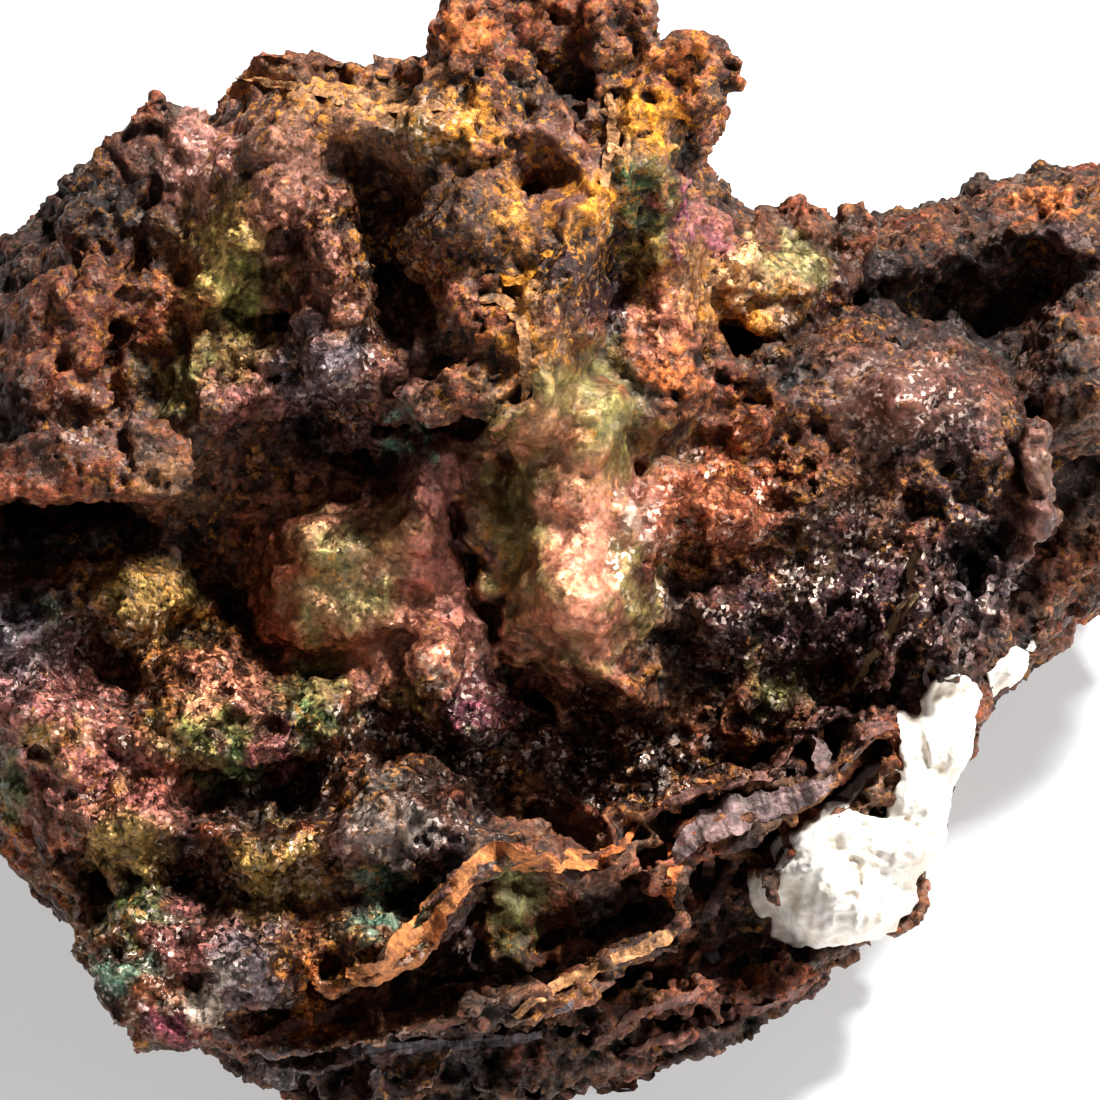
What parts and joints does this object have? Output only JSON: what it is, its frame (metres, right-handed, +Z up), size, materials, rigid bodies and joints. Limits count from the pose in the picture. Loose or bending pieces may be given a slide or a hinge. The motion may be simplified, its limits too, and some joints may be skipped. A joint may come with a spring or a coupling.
{
  "type": "rough goethite",
  "caption": "Rough natural goethite iron ore lump with a broken spire, a notch and a low arm, iridescent lumps, thin curved layers on its lower rim and smears of white putty.",
  "frame": {"origin": "middle of the footprint of the whole lump, on the surface that it rests on", "axes": "+Z up; +X to the viewer's right, from the blocky left end to the low arm; the lumpy front face looks towards -Y and up"},
  "size_m": [0.1468, 0.1225, 0.1041],
  "materials": {
    "goethite": "rough, with glossy and iridescent lumps",
    "putty": "smeared white putty, satin"
  },
  "bodies": {
    "root": {"goethite": "goethite", "putty_smear": "putty", "putty_dab": "putty"}
  },
  "joints": []
}
